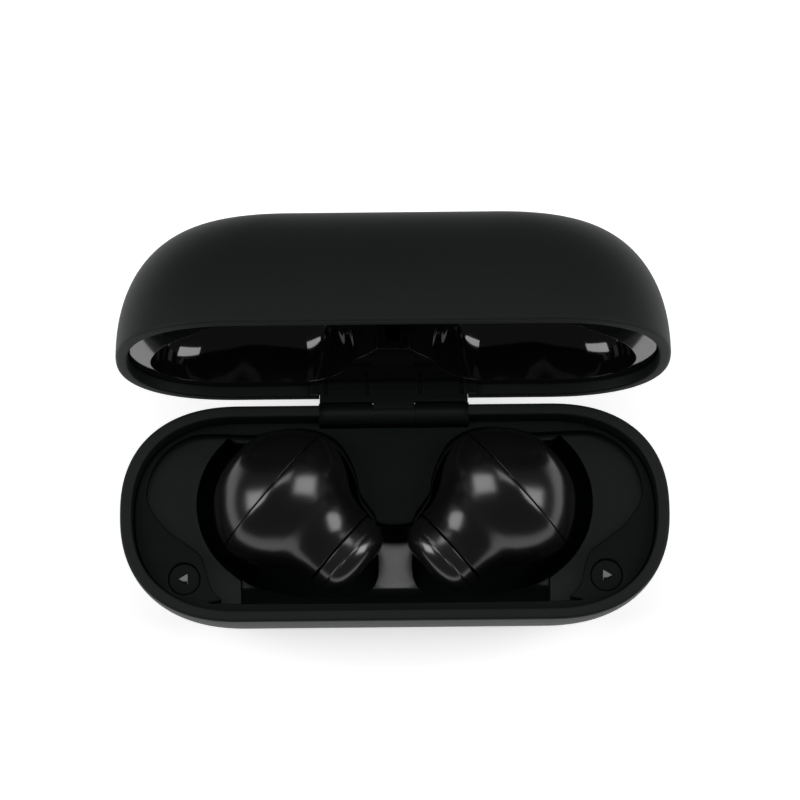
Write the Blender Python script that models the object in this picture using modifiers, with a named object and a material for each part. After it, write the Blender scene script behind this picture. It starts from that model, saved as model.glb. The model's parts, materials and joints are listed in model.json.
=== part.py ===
"""Wireless earbuds case, lid open, both earbuds seated.

Frame: +Z up, X across the width, front at -Y, hinge at +Y, origin at the centre of the flat
bottom. Sizes in this file are millimetres and become metres where a mesh is made.
"""

from math import asin, cos, pi, radians, sin

import bmesh
import bpy
from mathutils import Matrix, Vector

MM = 0.001
GAP = 0.3

# Case outline: a stadium with superellipse ends.
HALF_WIDTH = 33.0
HALF_DEPTH = 13.3
END_LENGTH = 14.6
END_POWER = 2.35
OUTLINE_POINTS = 56
WALL = 1.4

BASE_HEIGHT = 16.5
LID_HEIGHT = 16.0
LID_RIM = BASE_HEIGHT + GAP
# Superellipse sections: height of the whole curve, how far it draws in at the ends, how far at
# the front and rear, and its power. The base's curve is cut off flat before it ends.
BASE_CURVE = (20.5, 19.0, 11.0, 2.05)
LID_CURVE = (LID_HEIGHT, 13.0, 6.6, 2.25)

# Hinge
HINGE_Y = HALF_DEPTH - 0.75
HINGE_Z = BASE_HEIGHT - 1.85
HINGE_HALF_WIDTH = 8.7
LID_OPEN_DEG = 96.0
LEAF_TOP = HINGE_Z + 5.0
LINER_DEPTH = 1.2
LINER_WALL = 1.0
DOME_DEPTH = 9.0
KNUCKLE_RADIUS = 1.35
PIN_RADIUS = 0.5
PIN_BORE = 0.8

# Closure magnets
MAGNET_X = 25.4
MAGNET_Y = -7.4
MAGNET_RADIUS = 1.4

# Tray levels
BEZEL_TOP = BASE_HEIGHT - 2.2
BEZEL_THICKNESS = 1.2
CRADLE_TOP = BEZEL_TOP - BEZEL_THICKNESS - GAP
CRADLE_BOTTOM = BASE_HEIGHT - 11.6
POCKET_FLOOR = CRADLE_BOTTOM + 1.0
TROUGH_FLOOR = BASE_HEIGHT - 8.1
FRONT_EDGE = -10.6
RAMP_START = -7.4
BRIDGE_FRONT = -0.95
MARK_X = 25.35
MARK_Y = -7.5

# Under the cradle
PCB_BOTTOM = WALL + GAP
PCB_TOP = PCB_BOTTOM + 0.8
USB_Z = PCB_TOP + 2.0
USB_FRONT = 2.9

# Left half of the opening in the bezel, from the bridge round the rear to the front edge.
OPENING_HALF = (
    (-1.8, BRIDGE_FRONT),
    (-2.55, 0.3),
    (-3.5, 1.65),
    (-4.3, 3),
    (-4.7, 5.1),
    (-5.6, 7.4),
    (-7.0, 9.35),
    (-9.1, 10.5),
    (-11.4, 10.9),
    (-13.7, 10.7),
    (-16.5, 10.15),
    (-19.0, 10.2),
    (-21.4, 10.3),
    (-24.2, 10.15),
    (-26.8, 8.85),
    (-28.6, 6.95),
    (-29.6, 4.65),
    (-29.8, 2.3),
    (-28.7, 0.1),
    (-27.2, -1.65),
    (-25.0, -3.3),
    (-23.4, -4.65),
    (-22.8, -6.35),
    (-22.2, -8.5),
    (-20.9, -10.05),
    (-19.0, FRONT_EDGE),
)

# Earbud, measured along its own axis from the face to the tip.
BUD_CENTRE = Vector((-13.65, 2.0, BASE_HEIGHT - 0.8))
BUD_AXIS = Vector((0.751, -0.652, -0.105)).normalized()
BUD_CENTRE_S = 7.6
BUD_PROFILE = (
    (0.0, 0.0),
    (0.25, 2.6),
    (1.1, 4.8),
    (2.6, 6.6),
    (4.3, 7.95),
    (6.3, 8.9),
    (7.8, 9.0),
    (9.6, 8.55),
    (11.4, 7.6),
    (13.4, 6.15),
    (15.2, 5.45),
    (16.7, 5.3),
)
SEAM_S = 6.3
SHELL_WALL = 1.0
TIP_S = 16.95
NOZZLE_RADIUS = 2.9
BUD_STEPS = 32

CONTACT_S = (8.2, 10.8)
CONTACT_RADIUS = 0.8
PLUNGER_RADIUS = 0.45
BARREL_BORE = 0.5
BARREL_RADIUS = 0.8

PARTS = None
CUTTERS = None


def clear_scene():
    for old in list(bpy.data.objects):
        bpy.data.objects.remove(old, do_unlink=True)


def make_collections():
    global PARTS, CUTTERS
    PARTS = bpy.data.collections.new("wireless_earbuds_case")
    CUTTERS = bpy.data.collections.new("cutters")
    CUTTERS.hide_render = True
    bpy.context.scene.collection.children.link(PARTS)
    bpy.context.scene.collection.children.link(CUTTERS)


def material(name, colour, roughness, metallic=0.0):
    made = bpy.data.materials.new(name)
    made.use_nodes = True
    shader = made.node_tree.nodes["Principled BSDF"]
    shader.inputs["Base Color"].default_value = (*colour, 1.0)
    shader.inputs["Roughness"].default_value = roughness
    shader.inputs["Metallic"].default_value = metallic
    return made


def add_object(name, data, colour=None, cutter=False):
    made = bpy.data.objects.new(name, data)
    (CUTTERS if cutter else PARTS).objects.link(made)
    if cutter:
        made.hide_render = True
        made.display_type = "WIRE"
    elif colour:
        data.materials.append(material(name, *colour))
    return made


def mesh_object(name, points, faces, colour=None, cutter=False):
    """Points in millimetres."""
    mesh = bpy.data.meshes.new(name)
    mesh.from_pydata([Vector(p) * MM for p in points], [], faces)
    work = bmesh.new()
    work.from_mesh(mesh)
    bmesh.ops.recalc_face_normals(work, faces=work.faces)
    work.to_mesh(mesh)
    work.free()
    return add_object(name, mesh, colour, cutter)


def smooth(obj, degrees=35):
    for face in obj.data.polygons:
        face.use_smooth = True
    obj.data.set_sharp_from_angle(angle=radians(degrees))


def stadium(half_width, half_depth, end, z, count=OUTLINE_POINTS):
    points = []
    for i in range(count):
        angle = 2 * pi * (i + 0.5) / count
        c, s = cos(angle), sin(angle)
        x = (half_width - end) + end * abs(c) ** (2 / END_POWER)
        y = half_depth * abs(s) ** (2 / END_POWER)
        points.append((x if c > 0 else -x, y if s > 0 else -y, z))
    return points


def case_ring(curve, rise, inset, z):
    """Outline at a share of the curve's turn (0 at the rim), moved in by inset."""
    _, side, front, _ = curve
    half_width = HALF_WIDTH - side * rise - inset
    half_depth = HALF_DEPTH - front * rise - inset
    end = END_LENGTH - 0.35 * side * rise - inset
    return stadium(half_width, half_depth, end, z)


def turn_at(curve, depth, inset):
    """The curve's angle at a distance from the rim, for the curve moved in by inset."""
    height, _, _, power = curve
    return asin(min(depth / (height - inset), 1.0) ** (power / 2))


def curve_ring(curve, turn, inset, rim_z, up):
    height, _, _, power = curve
    z = rim_z + up * (height - inset) * sin(turn) ** (2 / power)
    return case_ring(curve, 1 - cos(turn) ** (2 / power), inset, z)


def dome_rings(curve, rim_z, up, depth, inset, steps):
    """Rings from the rim to the flat, for the curve moved in by inset."""
    last = turn_at(curve, depth - inset, inset)
    return [curve_ring(curve, last * i / steps, inset, rim_z, up) for i in range(steps + 1)]


def loft(name, rings, colour=None, cutter=False):
    """One closed body through rings of the same point count, capped at both ends."""
    count = len(rings[0])
    points = [p for ring in rings for p in ring]
    faces = []
    for level in range(len(rings) - 1):
        low = level * count
        for i in range(count):
            j = (i + 1) % count
            faces.append((low + i, low + j, low + count + j, low + count + i))
    faces.append(tuple(range(count)))
    faces.append(tuple(range((len(rings) - 1) * count, len(rings) * count)))
    return mesh_object(name, points, faces, colour, cutter)


def cup(name, curve, rim_z, up, depth, colour):
    """A domed shell: outer dome, rounded rim, inner dome. Up is 1 or -1."""
    outer = dome_rings(curve, rim_z, up, depth, 0.0, 8)[::-1][:-1]
    rim = [
        case_ring(curve, 0, 0.0, rim_z + up * 0.45),
        case_ring(curve, 0, 0.12, rim_z + up * 0.12),
        case_ring(curve, 0, 0.4, rim_z),
        case_ring(curve, 0, WALL - 0.15, rim_z),
        case_ring(curve, 0, WALL, rim_z + up * 0.15),
    ]
    inner = dome_rings(curve, rim_z, up, depth, WALL, 7)[1:]
    made = loft(name, outer + rim + inner, colour)
    smooth(made, 40)
    return made


def prism(name, outline, low, high, colour=None, cutter=False):
    rings = [[(x, y, low) for x, y in outline], [(x, y, high) for x, y in outline]]
    return loft(name, rings, colour, cutter)


def box(name, low, high, colour=None, cutter=False):
    outline = ((low[0], low[1]), (high[0], low[1]), (high[0], high[1]), (low[0], high[1]))
    return prism(name, outline, low[2], high[2], colour, cutter)


def rounded_rectangle(half_x, half_y, radius, centre=(0, 0), steps=4):
    points = []
    for sx, sy, start in ((1, 1, 0), (-1, 1, 90), (-1, -1, 180), (1, -1, 270)):
        for i in range(steps + 1):
            angle = radians(start + 90 * i / steps)
            x = centre[0] + sx * (half_x - radius) + radius * cos(angle)
            y = centre[1] + sy * (half_y - radius) + radius * sin(angle)
            points.append((x, y))
    return points


def cylinder(name, radius, length, frame, colour=None, cutter=False, steps=20):
    """A solid cylinder from the frame's origin along its +Z."""
    ring = [(radius * cos(2 * pi * i / steps), radius * sin(2 * pi * i / steps)) for i in range(steps)]
    made = prism(name, ring, 0.0, length, colour, cutter)
    made.matrix_world = frame
    if not cutter:
        smooth(made, 40)
    return made


def revolve(name, profile, frame, colour, steps=BUD_STEPS, closed=False):
    """Screw round local Z of (radius, height) pairs, turned to run down their outer side."""
    area = sum(a[0] * b[1] - b[0] * a[1] for a, b in zip(profile, profile[1:] + profile[:1]))
    if area > 0:
        profile = profile[::-1]
    mesh = bpy.data.meshes.new(name)
    edges = [(i, i + 1) for i in range(len(profile) - 1)]
    if closed:
        edges.append((len(profile) - 1, 0))
    mesh.from_pydata([(r * MM, 0, h * MM) for r, h in profile], edges, [])
    made = add_object(name, mesh, colour)
    screw = made.modifiers.new("Screw", "SCREW")
    screw.axis = "Z"
    screw.steps = steps
    screw.render_steps = steps
    screw.use_merge_vertices = True
    screw.merge_threshold = 0.00001
    screw.use_smooth_shade = True
    made.matrix_world = frame
    return made


def boolean(target, other, operation="DIFFERENCE"):
    cut = target.modifiers.new(other.name, "BOOLEAN")
    cut.operation = operation
    cut.solver = "EXACT"
    cut.object = other


def at(x, y, z):
    return Matrix.Translation(Vector((x, y, z)) * MM)


def along_x(x, y, z):
    return at(x, y, z) @ Matrix.Rotation(pi / 2, 4, "Y")


def mirrored(outline):
    return [(-x, y) for x, y in reversed(outline)]


def grown(outline, distance):
    """Each point of a closed outline moved straight out by a distance."""
    points = [Vector(p) for p in outline]
    area = sum(a.cross(b) for a, b in zip(points, points[1:] + points[:1]))
    side = distance if area > 0 else -distance
    moved = []
    for i, point in enumerate(points):
        tangent = (points[(i + 1) % len(points)] - points[i - 1]).normalized()
        moved.append(tuple(point + Vector((tangent.y, -tangent.x)) * side))
    return moved


def opening_outline(grow=0.0):
    return grown(list(OPENING_HALF) + mirrored(OPENING_HALF), grow)


def well(name, outline, centre, mouth, floor, colour=None, cutter=False, round_share=0.45):
    """A hollow's shape: straight at its mouth, rounding in to a smaller floor."""
    rings = [[(x, y, mouth) for x, y in outline]]
    depth = floor - mouth
    for i in range(6):
        turn = pi / 2 * i / 5
        scale = 1 - 0.42 * (1 - cos(turn))
        z = mouth + depth * (1 - round_share + round_share * sin(turn))
        ring = []
        for x, y in outline:
            ring.append((centre[0] + (x - centre[0]) * scale, centre[1] + (y - centre[1]) * scale, z))
        rings.append(ring)
    return loft(name, rings, colour, cutter)


SHELL_BLACK = ((0.012, 0.016, 0.015), 0.55)
TRAY_BLACK = ((0.010, 0.014, 0.013), 0.45)
GLOSS_BLACK = ((0.006, 0.006, 0.007), 0.12)
BUD_BLACK = ((0.012, 0.012, 0.013), 0.3)
RUBBER_BLACK = ((0.010, 0.010, 0.011), 0.4)
STEEL = ((0.55, 0.56, 0.58), 0.3, 1.0)
MAGNET = ((0.45, 0.45, 0.47), 0.35, 1.0)
GOLD = ((0.83, 0.60, 0.25), 0.25, 1.0)
BOARD = ((0.02, 0.10, 0.05), 0.5)
POUCH = ((0.60, 0.61, 0.63), 0.4, 0.8)
CHIP = ((0.02, 0.02, 0.02), 0.5)
CLEAR = ((0.7, 0.72, 0.72), 0.2)


def pocket_outline(sign):
    """The cradle's pocket: the opening's rear edge and a finger scoop round the earbud's face."""
    rear = [(x, y - 0.6) for x, y in OPENING_HALF[:14] if x > -20]
    scoop = []
    for degrees in range(130, 231, 10):
        angle = radians(degrees)
        scoop.append((-12.9 + 11.0 * cos(angle), 1.9 + 10.8 * sin(angle)))
    front = [(-17.5, -8.1), (-12.5, -9.3), (-7.0, -9.6), (-3.0, -9.2), (-1.2, -7.2), (-1.2, -3.0)]
    outline = rear + scoop + front
    return outline if sign < 0 else mirrored(outline)


def base_shell():
    shell = cup("base_shell", BASE_CURVE, BASE_HEIGHT, -1, BASE_HEIGHT, SHELL_BLACK)
    half = HINGE_HALF_WIDTH + GAP
    boolean(shell, box("cut_base_hinge", (-half, 9.0, HINGE_Z - 2.1), (half, 18, 24), cutter=True))
    socket = prism("cut_usb", rounded_rectangle(4.8, 1.95, 1.9), 0, 12, cutter=True)
    socket.matrix_world = at(0, 5, USB_Z) @ Matrix.Rotation(-pi / 2, 4, "X")
    boolean(shell, socket)


def tray_bezel():
    outline = [(x, y) for x, y, _ in case_ring(BASE_CURVE, 0, WALL + 0.5, 0)]
    plate = prism("tray_bezel", outline, BEZEL_TOP - BEZEL_THICKNESS, BEZEL_TOP, TRAY_BLACK)
    boolean(plate, prism("cut_opening", opening_outline(), 8, 30, cutter=True))
    half = HINGE_HALF_WIDTH + GAP
    boolean(plate, box("cut_bezel_hinge", (-half, HINGE_Y - 1.65, 8), (half, 18, 24), cutter=True))
    for side, sign in (("left", -1), ("right", 1)):
        disc = at(sign * MARK_X, MARK_Y, BEZEL_TOP - 0.5)
        boolean(plate, cylinder(f"cut_{side}_mark", 1.95, 3.0, disc, cutter=True, steps=24))
        cylinder(f"{side}_mark_disc", 1.7, 0.35, disc @ at(0, 0, 0.08), CHIP, steps=24)


def pocket_cradle():
    outline = opening_outline(0.9)
    block = prism("pocket_cradle", outline, CRADLE_BOTTOM, CRADLE_TOP, TRAY_BLACK)
    limit = dome_rings(BASE_CURVE, BASE_HEIGHT, -1, BASE_HEIGHT, WALL + GAP, 7)
    boolean(block, loft("keep_inside_shell", limit, cutter=True), "INTERSECT")
    for side, sign in (("left", -1), ("right", 1)):
        cavity = well(
            f"cut_{side}_pocket", pocket_outline(sign), (sign * 12.6, 1.4), 20.0, POCKET_FLOOR, cutter=True
        )
        boolean(block, cavity)
    trough = [(BRIDGE_FRONT - 0.3, 22.0), (BRIDGE_FRONT - 0.3, TROUGH_FLOOR), (RAMP_START, TROUGH_FLOOR)]
    for i in range(1, 8):
        turn = pi / 2 * i / 7
        y = RAMP_START + (FRONT_EDGE - RAMP_START) * sin(turn)
        trough.append((y, BEZEL_TOP - (BEZEL_TOP - TROUGH_FLOOR) * cos(turn)))
    trough.append((FRONT_EDGE, 22.0))
    rings = [[(x, y, z) for y, z in trough] for x in (-18.6, 18.6)]
    boolean(block, loft("cut_trough", rings, cutter=True))
    half = HINGE_HALF_WIDTH + GAP
    boolean(block, box("cut_cradle_hinge", (-half, HINGE_Y - 2.2, 8), (half, 18, 24), cutter=True))
    usb_top = USB_Z + 1.63 + GAP
    boolean(block, box("cut_cradle_usb", (-4.8, USB_FRONT - GAP, 0), (4.8, 14, usb_top), cutter=True))


def dome_outline(sign):
    """The hollow over one earbud in the lid's liner."""
    outline = [(-2.2, 0.8), (-4.4, 2.3), (-5.6, 6.0), (-8.0, 8.9), (-11.0, 10.4), (-15.0, 10.3)]
    outline += [(-20.0, 10.4), (-24.5, 9.6), (-28.0, 6.8), (-29.0, 2.7), (-27.4, -2.0)]
    outline += [(-24.2, -5.6), (-20.6, -8.9), (-17.0, -10.3), (-8.0, -10.5), (-2.2, -10.3)]
    return outline if sign < 0 else mirrored(outline)


def lid_shell():
    half = HINGE_HALF_WIDTH + GAP
    shell = cup("lid_shell", LID_CURVE, LID_RIM, 1, LID_HEIGHT, SHELL_BLACK)
    boolean(shell, box("cut_lid_hinge", (-half, 10.0, 10), (half, 18, LEAF_TOP + GAP), cutter=True))


def lid_liner():
    """A plate inside the lid's rim with one thin-walled dome over each earbud."""
    face = LID_RIM + LINER_DEPTH
    turn = turn_at(LID_CURVE, LINER_DEPTH + LINER_WALL, WALL + GAP)
    outline = [(x, y) for x, y, _ in curve_ring(LID_CURVE, turn, WALL + GAP, 0, 1)]
    liner = prism("lid_liner", outline, face, face + LINER_WALL, GLOSS_BLACK)
    for side, sign in (("left", -1), ("right", 1)):
        centre = (sign * 13.0, 0.4)
        around = grown(dome_outline(sign), LINER_WALL)
        roof = face + DOME_DEPTH
        top = roof + LINER_WALL
        over = well(f"join_{side}_dome", around, centre, face + 0.2, top, cutter=True, round_share=0.95)
        boolean(liner, over, "UNION")
    limit = dome_rings(LID_CURVE, LID_RIM, 1, LID_HEIGHT, WALL + GAP, 7)
    boolean(liner, loft("keep_liner", limit, cutter=True), "INTERSECT")
    for side, sign in (("left", -1), ("right", 1)):
        centre = (sign * 13.0, 0.4)
        inside = dome_outline(sign)
        roof = face + DOME_DEPTH
        dome = well(f"cut_{side}_dome", inside, centre, face - 3, roof, cutter=True, round_share=0.7)
        boolean(liner, dome)
        pocket = at(sign * MAGNET_X, MAGNET_Y, face + 0.6)
        boolean(liner, cylinder(f"cut_{side}_lid_magnet", MAGNET_RADIUS + GAP, 12.0, pocket, cutter=True))
    boolean(liner, box("cut_liner_valley", (-4.0, -10.0, face - 3), (4.0, -0.9, face + 4.5), cutter=True))
    half = HINGE_HALF_WIDTH + GAP
    boolean(liner, box("cut_liner_hinge", (-half, 9.9, 10), (half, 18, LEAF_TOP + 2 * GAP), cutter=True))


def lid_leaf():
    """The lid's half of the hinge: a plate with one barrel in its middle round the pin."""
    reach = HINGE_HALF_WIDTH
    low = (-reach, HINGE_Y - 1.35, HINGE_Z + 0.3)
    leaf = box("lid_hinge_leaf", low, (reach, HINGE_Y + 0.2, LEAF_TOP), SHELL_BLACK)
    start = along_x(-reach, HINGE_Y, HINGE_Z)
    boolean(leaf, cylinder("join_leaf_barrel", KNUCKLE_RADIUS, 2 * reach, start, cutter=True), "UNION")
    for low, high in ((-reach - GAP, -2.5), (2.5, reach + GAP)):
        clear = box(
            f"cut_leaf_{low:.0f}",
            (low, 8, HINGE_Z - 4),
            (high, 18, HINGE_Z + KNUCKLE_RADIUS + 0.45),
            cutter=True,
        )
        boolean(leaf, clear)
    boolean(leaf, cylinder("cut_leaf_bore", PIN_BORE, 30, along_x(-15, HINGE_Y, HINGE_Z), cutter=True))


LID_WORDS = ("lid_shell", "liner", "leaf", "dome", "cut_lid", "lid_magnet")


def open_lid():
    """Everything of the lid is modelled closed; an empty on the hinge axis turns it open."""
    axis = bpy.data.objects.new("lid_axis", None)
    PARTS.objects.link(axis)
    axis.matrix_world = at(0, HINGE_Y, HINGE_Z)
    bpy.context.view_layer.update()
    for obj in list(PARTS.objects) + list(CUTTERS.objects):
        if obj != axis and any(word in obj.name for word in LID_WORDS):
            obj.parent = axis
            obj.matrix_parent_inverse = axis.matrix_world.inverted()
    axis.rotation_euler.x = -radians(LID_OPEN_DEG)


def hinge_parts():
    width = HINGE_HALF_WIDTH - 3.7
    for side, low in (("left", -HINGE_HALF_WIDTH), ("right", 3.7)):
        place = along_x(low, HINGE_Y, HINGE_Z)
        knuckle = cylinder(f"{side}_base_knuckle", KNUCKLE_RADIUS, width, place, SHELL_BLACK, steps=24)
        far = (low + width, HINGE_Y + 0.6, HINGE_Z)
        foot = box(f"join_{side}_foot", (low, HINGE_Y - 1.3, HINGE_Z - 1.7), far, cutter=True)
        boolean(knuckle, foot, "UNION")
        bore = cylinder(f"cut_{side}_bore", PIN_BORE, 30, along_x(-15, HINGE_Y, HINGE_Z), cutter=True)
        boolean(knuckle, bore)
    cylinder("hinge_pin", PIN_RADIUS, 17.0, along_x(-8.5, HINGE_Y, HINGE_Z), STEEL, steps=16)


def helix(name, centre, radius, wire, turns, length, colour, steps=14):
    """A coil along X with straight ends, swept as a tube."""
    path = []
    for i in range(int(turns * steps) + 1):
        angle = 2 * pi * i / steps
        share = i / (turns * steps)
        x = centre[0] + length * (share - 0.5)
        path.append((x, centre[1] + radius * cos(angle), centre[2] + radius * sin(angle)))
    curve = bpy.data.curves.new(name, "CURVE")
    curve.dimensions = "3D"
    curve.bevel_depth = wire * MM
    curve.bevel_resolution = 1
    curve.use_fill_caps = True
    spline = curve.splines.new("POLY")
    spline.points.add(len(path) - 1)
    for point, place in zip(spline.points, path):
        point.co = (*[v * MM for v in place], 1.0)
    return add_object(name, curve, colour)


def inside_parts():
    edge = turn_at(BASE_CURVE, BASE_HEIGHT - PCB_BOTTOM, WALL)
    board = [(x, y) for x, y, _ in curve_ring(BASE_CURVE, edge, WALL + 0.4, 0, 1)]
    prism("main_pcb", board, PCB_BOTTOM, PCB_TOP, BOARD)
    outline = rounded_rectangle(9.6, 4.7, 1.0, (0, -2.2))
    smooth(prism("case_battery", outline, PCB_TOP + GAP, CRADLE_BOTTOM - GAP, POUCH))
    frame = at(0, USB_FRONT, USB_Z) @ Matrix.Rotation(-pi / 2, 4, "X")
    socket = prism("usb_c_receptacle", rounded_rectangle(4.47, 1.63, 1.55), 0, 7.0, STEEL)
    socket.matrix_world = frame
    hollow = prism("cut_receptacle", rounded_rectangle(4.17, 1.28, 1.25), 1.6, 9, cutter=True)
    hollow.matrix_world = frame
    boolean(socket, hollow)
    box("usb_c_tongue", (-3.3, USB_FRONT + 1.9, USB_Z - 0.35), (3.3, USB_FRONT + 6.0, USB_Z + 0.35), CHIP)
    box("lid_hall_sensor", (-17.6, -3.4, PCB_TOP + GAP), (-15.2, -1.8, PCB_TOP + GAP + 0.9), CHIP)
    for side, sign in (("left", -1), ("right", 1)):
        place = at(sign * MAGNET_X, MAGNET_Y, CRADLE_TOP - 2.6)
        cylinder(f"{side}_base_magnet", MAGNET_RADIUS, 2.4, place, MAGNET)
        place = at(sign * MAGNET_X, MAGNET_Y, LID_RIM + LINER_DEPTH + 0.9)
        cylinder(f"{side}_lid_magnet", MAGNET_RADIUS, 2.0, place, MAGNET)


def bud_radius(s):
    for (s0, r0), (s1, r1) in zip(BUD_PROFILE, BUD_PROFILE[1:]):
        if s0 <= s <= s1:
            return r0 + (r1 - r0) * (s - s0) / (s1 - s0)
    return BUD_PROFILE[-1][1]


def bud_frame(sign):
    """Local +Z runs from the face to the tip; the origin is the middle of the face."""
    axis = Vector((-sign * BUD_AXIS.x, BUD_AXIS.y, BUD_AXIS.z))
    centre = Vector((-sign * BUD_CENTRE.x, BUD_CENTRE.y, BUD_CENTRE.z))
    origin = (centre - axis * BUD_CENTRE_S) * MM
    across = axis.cross(Vector((0, 0, 1))).normalized()
    down = across.cross(axis)
    turned = Matrix((across, down * -1, axis)).transposed().to_4x4()
    if turned.determinant() < 0:
        turned = Matrix((across * -1, down * -1, axis)).transposed().to_4x4()
    return Matrix.Translation(origin) @ turned


def contact_place(frame, s):
    """Where the underside of the body is at s, in millimetres."""
    axis = (frame.to_3x3() @ Vector((0, 0, 1))).normalized()
    down = Vector((0, 0, -1)) - axis * axis.dot(Vector((0, 0, -1)))
    return frame.translation / MM + axis * s + down.normalized() * bud_radius(s)


def earbud(side, sign):
    frame = bud_frame(sign)
    outer = [(r, s) for s, r in BUD_PROFILE if s < SEAM_S] + [(bud_radius(SEAM_S), SEAM_S)]
    inner = [(max(r - SHELL_WALL, 0.0), s + 0.15) for r, s in outer[2:]][::-1]
    inner[0] = (outer[-1][0] - SHELL_WALL, SEAM_S)
    revolve(f"{side}_bud_outer_shell", outer + inner + [(0.0, 1.25)], frame, BUD_BLACK)

    start = SEAM_S + 0.2
    body = [(bud_radius(start), start)] + [(r, s) for s, r in BUD_PROFILE if s > start]
    hollow = [(r - SHELL_WALL, s - 0.1) for r, s in body[:-1]][::-1]
    hollow[-1] = (body[0][0] - SHELL_WALL, start)
    nozzle = [(NOZZLE_RADIUS, body[-1][1]), (NOZZLE_RADIUS, 18.4), (2.0, 18.4), (2.0, 14.4)]
    shell = revolve(f"{side}_bud_inner_shell", body + nozzle + hollow, frame, BUD_BLACK, closed=True)

    tip = [(3.2, TIP_S), (5.2, TIP_S), (5.15, 18.4), (4.85, 19.3), (4.1, 20.1), (3.1, 20.6), (2.2, 20.8)]
    tip += [(1.7, 20.5), (1.6, 18.7), (3.2, 18.7)]
    revolve(f"{side}_ear_tip", tip, frame, RUBBER_BLACK, closed=True)
    cylinder(f"{side}_nozzle_mesh", 1.8, 0.3, frame @ at(0, 0, 17.6), STEEL)
    cylinder(f"{side}_speaker_driver", 5.0, 2.6, frame @ at(0, 0, 9.9), CHIP, steps=28)
    cylinder(f"{side}_bud_magnet", 3.2, 1.2, frame @ at(0, 0, 8.3), MAGNET, steps=24)
    cylinder(f"{side}_bud_battery", 5.7, 4.6, frame @ at(0, 0, 3.35), STEEL, steps=28)
    cylinder(f"{side}_bud_pcb", 4.1, 0.8, frame @ at(0, 0, 2.1), BOARD, steps=24)

    cradle = bpy.data.objects["pocket_cradle"]
    for number, s in enumerate(CONTACT_S, 1):
        place = contact_place(frame, s)
        pad = at(place.x, place.y, place.z - 0.02)
        below = pad @ at(0, 0, -1.0)
        hole = cylinder(f"cut_{side}_pad_{number}", CONTACT_RADIUS + 0.3, 3.0, below, cutter=True, steps=12)
        boolean(shell, hole)
        cylinder(f"{side}_bud_contact_{number}", CONTACT_RADIUS, 1.1, pad, GOLD, steps=12)
        top = place.z - 0.35
        foot = PCB_TOP + GAP
        foot_place = at(place.x, place.y, 0)
        name = f"cut_{side}_pogo_{number}"
        boolean(cradle, cylinder(name, BARREL_RADIUS + 0.3, 12, foot_place, cutter=True, steps=12))
        barrel_top = top - 1.1
        barrel = [(0.0, foot), (BARREL_RADIUS, foot), (BARREL_RADIUS, barrel_top), (BARREL_BORE, barrel_top)]
        barrel += [(BARREL_BORE, foot + 0.5), (0.0, foot + 0.5)]
        revolve(f"{side}_pogo_barrel_{number}", barrel, foot_place, GOLD, steps=12)
        start = foot + 1.5
        plunger = [(0.0, start), (PLUNGER_RADIUS, start), (PLUNGER_RADIUS, top - 0.2), (0.25, top), (0.0, top)]
        revolve(f"{side}_pogo_plunger_{number}", plunger, foot_place, GOLD, steps=12)


clear_scene()
make_collections()
base_shell()
tray_bezel()
pocket_cradle()
hinge_parts()
helix("hinge_spring", (-3.1, HINGE_Y, HINGE_Z), 1.1, 0.1, 3, 0.75, STEEL)
inside_parts()
lid_shell()
lid_liner()
lid_leaf()
open_lid()
earbud("left", -1)
earbud("right", 1)
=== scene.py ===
import json
from math import asin, cos, pi, radians, sin

import bmesh
import bpy
from mathutils import Matrix, Vector


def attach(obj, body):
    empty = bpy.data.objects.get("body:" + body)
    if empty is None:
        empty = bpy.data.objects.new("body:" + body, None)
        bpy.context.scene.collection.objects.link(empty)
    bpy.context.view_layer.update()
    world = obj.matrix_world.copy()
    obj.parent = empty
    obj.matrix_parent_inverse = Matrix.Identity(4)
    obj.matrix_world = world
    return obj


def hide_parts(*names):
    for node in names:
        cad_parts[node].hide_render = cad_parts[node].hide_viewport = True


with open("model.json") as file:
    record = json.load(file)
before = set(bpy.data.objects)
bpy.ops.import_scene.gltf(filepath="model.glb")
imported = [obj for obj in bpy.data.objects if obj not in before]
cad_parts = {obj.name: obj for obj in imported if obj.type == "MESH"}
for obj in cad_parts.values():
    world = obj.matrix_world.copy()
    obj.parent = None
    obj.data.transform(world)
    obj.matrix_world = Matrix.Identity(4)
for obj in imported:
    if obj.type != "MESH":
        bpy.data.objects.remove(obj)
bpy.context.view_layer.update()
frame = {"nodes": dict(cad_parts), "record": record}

MM = 0.001
GAP = 0.3

# The case's driving sizes in millimetres, the same as the CAD part's.
HALF_WIDTH = 33.0
HALF_DEPTH = 13.3
END_LENGTH = 14.6
END_POWER = 2.35
OUTLINE_POINTS = 224
RIM_ROUND = 0.35
WALL = 1.4

BASE_HEIGHT = 16.5
LID_HEIGHT = 16.0
LID_RIM = BASE_HEIGHT + GAP
# Superellipse sections: height of the whole curve, how far it draws in at the ends, how far at
# the front and rear, and its power. The base's curve is cut off flat before it ends.
BASE_CURVE = (20.5, 19.0, 11.0, 2.05)
LID_CURVE = (LID_HEIGHT, 13.0, 6.6, 2.25)

# Hinge
HINGE_Y = HALF_DEPTH - 0.75
HINGE_Z = BASE_HEIGHT - 1.85
HINGE_HALF_WIDTH = 8.7
LID_OPEN_DEG = 96.0
LEAF_TOP = HINGE_Z + 5.0
LINER_DEPTH = 1.2
LINER_WALL = 1.0
DOME_DEPTH = 9.0
KNUCKLE_RADIUS = 1.35
HINGE_NOTCH = HINGE_HALF_WIDTH + GAP
# The leaf stays just inside the notch; each knuckle runs a little into the shell it belongs to.
LEAF_REACH = HINGE_HALF_WIDTH + 0.24
KNUCKLE_REACH = HINGE_HALF_WIDTH + 0.35
KNUCKLE_START = 2.55
FOOT_START = 3.7
MIDDLE_HALF_WIDTH = 2.5
LAP_HALF_WIDTH = 2.85
LAP_RADIUS = 1.2
PIN_BORE = 0.6

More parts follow.
